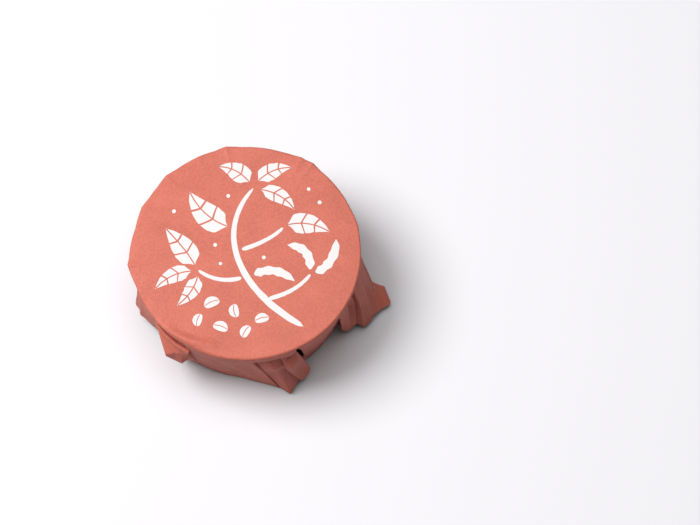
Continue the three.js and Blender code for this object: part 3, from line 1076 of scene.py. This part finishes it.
class BeanTubSettings(bpy.types.PropertyGroup):
    """Sizes and colours of the covered tub and of its studio."""

    paper_thickness: FloatProperty(
        name="Paper thickness",
        description="Thickness of the cover's sheet",
        default=0.25 * MM,
        min=0.05 * MM,
        unit="LENGTH",
        precision=5,
    )
    crumple: FloatProperty(
        name="Crumple",
        description="How strongly the skirt is crumpled",
        default=1.0,
        min=0.0,
        subtype="FACTOR",
    )
    ink_thickness: FloatProperty(
        name="Ink thickness",
        description="How far the print stands above the paper",
        default=0.05 * MM,
        min=0.01 * MM,
        unit="LENGTH",
        precision=5,
    )
    paper_colour: FloatVectorProperty(
        name="Paper",
        description="Colour of the cover's paper",
        default=(0.42, 0.106, 0.0715),
        min=0.0,
        max=1.0,
        subtype="COLOR",
    )
    # The creases' paler colour: rubbed paper, and a painted highlight where the fold's edge
    # catches light
    worn_colour: FloatVectorProperty(
        name="Worn crease",
        description="Colour of the paper where a crease has rubbed it paler",
        default=(0.50, 0.17, 0.12),
        min=0.0,
        max=1.0,
        subtype="COLOR",
    )
    ink_colour: FloatVectorProperty(
        name="Ink",
        description="Colour of the print",
        default=(0.57, 0.555, 0.55),
        min=0.0,
        max=1.0,
        subtype="COLOR",
    )
    # Near black: where it shows through the slit beside the front flap it is painted shade for the
    # deep shadow there
    tub_colour: FloatVectorProperty(
        name="Tub",
        description="Colour of the tub's plastic",
        default=(0.012, 0.010, 0.010),
        min=0.0,
        max=1.0,
        subtype="COLOR",
    )
    floor_colour: FloatVectorProperty(
        name="Floor",
        description="Colour of the studio floor",
        default=(0.575, 0.566, 0.585),
        min=0.0,
        max=1.0,
        subtype="COLOR",
    )
    key_power: FloatProperty(
        name="Key light",
        description="Power of the large soft light at the back left",
        default=52.0,
        min=0.0,
        unit="POWER",
    )
    overhead_power: FloatProperty(
        name="Overhead light",
        description="Power of the large soft light overhead",
        default=29.0,
        min=0.0,
        unit="POWER",
    )
    fill_strength: FloatProperty(
        name="Fill",
        description="Strength of the even light from all round",
        default=0.07,
        min=0.0,
        subtype="FACTOR",
    )


class BEANTUB_OT_paper_cover(bpy.types.Operator):
    """Fold the paper cover over the tub"""

    bl_idname = "bean_tub.paper_cover"
    bl_label = "Paper Cover"

    def execute(self, context):
        lay_paper_cover()
        return {"FINISHED"}


class BEANTUB_OT_print(bpy.types.Operator):
    """Print the bean plant on the cover's top"""

    bl_idname = "bean_tub.bean_plant_print"
    bl_label = "Bean Plant Print"

    def execute(self, context):
        print_bean_plant()
        return {"FINISHED"}


class BEANTUB_OT_tub(bpy.types.Operator):
    """Give the tub its dark plastic"""

    bl_idname = "bean_tub.tub_plastic"
    bl_label = "Tub Plastic"

    def execute(self, context):
        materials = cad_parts["tub"].data.materials
        materials.clear()
        materials.append(tub_plastic())
        return {"FINISHED"}


# The studio. Lights: azimuth, elevation, distance and width
KEY_LIGHT = (171.0, 57.0, 2.0, 1.2)
OVERHEAD_LIGHT = (90.0, 87.0, 2.0, 1.7)
SKY_COLOUR = (0.95, 0.97, 1.0, 1.0)
FLOOR_HALF = 3.0
# The camera stands where the photograph was taken from. Its lens and sensor are in millimetres
CAMERA_PLACE = (0.04678, -0.4639, 1.2090)
CAMERA_TILT = 21.5
LENS = 143.0
SENSOR = 36.0


def soft_light(name, power, azimuth, elevation, distance, size):
    """A round soft light that faces the tub."""
    light = bpy.data.lights.new(name, "AREA")
    light.shape = "DISK"
    light.size = size
    light.energy = power
    lamp = bpy.data.objects.new(name, light)
    rise = math.radians(elevation)
    lamp.location = on_circle(azimuth, distance * math.cos(rise), distance * math.sin(rise))
    lamp.rotation_euler = lamp.location.to_track_quat("Z", "Y").to_euler()
    bpy.context.collection.objects.link(lamp)


class BEANTUB_OT_stage(bpy.types.Operator):
    """Set the floor, the lights and the camera"""

    bl_idname = "bean_tub.stage"
    bl_label = "Stage"

    def execute(self, context):
        s = settings()
        bm = bmesh.new()
        bmesh.ops.create_grid(bm, x_segments=1, y_segments=1, size=FLOOR_HALF)
        mesh = bpy.data.meshes.new("floor")
        bm.to_mesh(mesh)
        bm.free()
        floor = bpy.data.objects.new("floor", mesh)
        context.collection.objects.link(floor)
        material, _, shader, _ = new_material("studio_floor")
        shader.inputs["Base Color"].default_value = (*s.floor_colour, 1)
        shader.inputs["Roughness"].default_value = 0.8
        mesh.materials.append(material)

        soft_light("key", s.key_power, *KEY_LIGHT)
        soft_light("overhead", s.overhead_power, *OVERHEAD_LIGHT)

        world = bpy.data.worlds.new("studio")
        world.use_nodes = True
        background = world.node_tree.nodes["Background"]
        background.inputs["Color"].default_value = SKY_COLOUR
        background.inputs["Strength"].default_value = s.fill_strength
        context.scene.world = world

        lens = bpy.data.cameras.new("camera")
        lens.lens = LENS
        lens.sensor_width = SENSOR
        camera = bpy.data.objects.new("camera", lens)
        camera.location = CAMERA_PLACE
        camera.rotation_euler = (math.radians(CAMERA_TILT), 0, 0)
        context.collection.objects.link(camera)
        context.scene.camera = camera
        context.scene.view_settings.view_transform = "Standard"
        return {"FINISHED"}


OPERATORS = [BEANTUB_OT_paper_cover, BEANTUB_OT_print, BEANTUB_OT_tub, BEANTUB_OT_stage]


class BEANTUB_PT_panel(bpy.types.Panel):
    """Lists the pieces of the covered tub"""

    bl_label = "Bean Tub"
    bl_idname = "BEANTUB_PT_panel"
    bl_space_type = "VIEW_3D"
    bl_region_type = "UI"
    bl_category = "Bean Tub"

    def draw(self, context):
        for name in BeanTubSettings.__annotations__:
            self.layout.prop(context.scene.bean_tub, name)
        for operator in OPERATORS:
            self.layout.operator(operator.bl_idname)


CLASSES = [BeanTubSettings, *OPERATORS, BEANTUB_PT_panel]


def register():
    """Makes the settings, the operators and the panel known to Blender."""
    for cls in CLASSES:
        bpy.utils.register_class(cls)
    bpy.types.Scene.bean_tub = PointerProperty(type=BeanTubSettings)


def unregister():
    """Takes them out again."""
    del bpy.types.Scene.bean_tub
    for cls in reversed(CLASSES):
        bpy.utils.unregister_class(cls)


def main():
    """Makes every piece and the stage."""
    register()
    for operator in OPERATORS:
        group, name = operator.bl_idname.split(".")
        getattr(getattr(bpy.ops, group), name)()


if __name__ == "__main__":
    main()
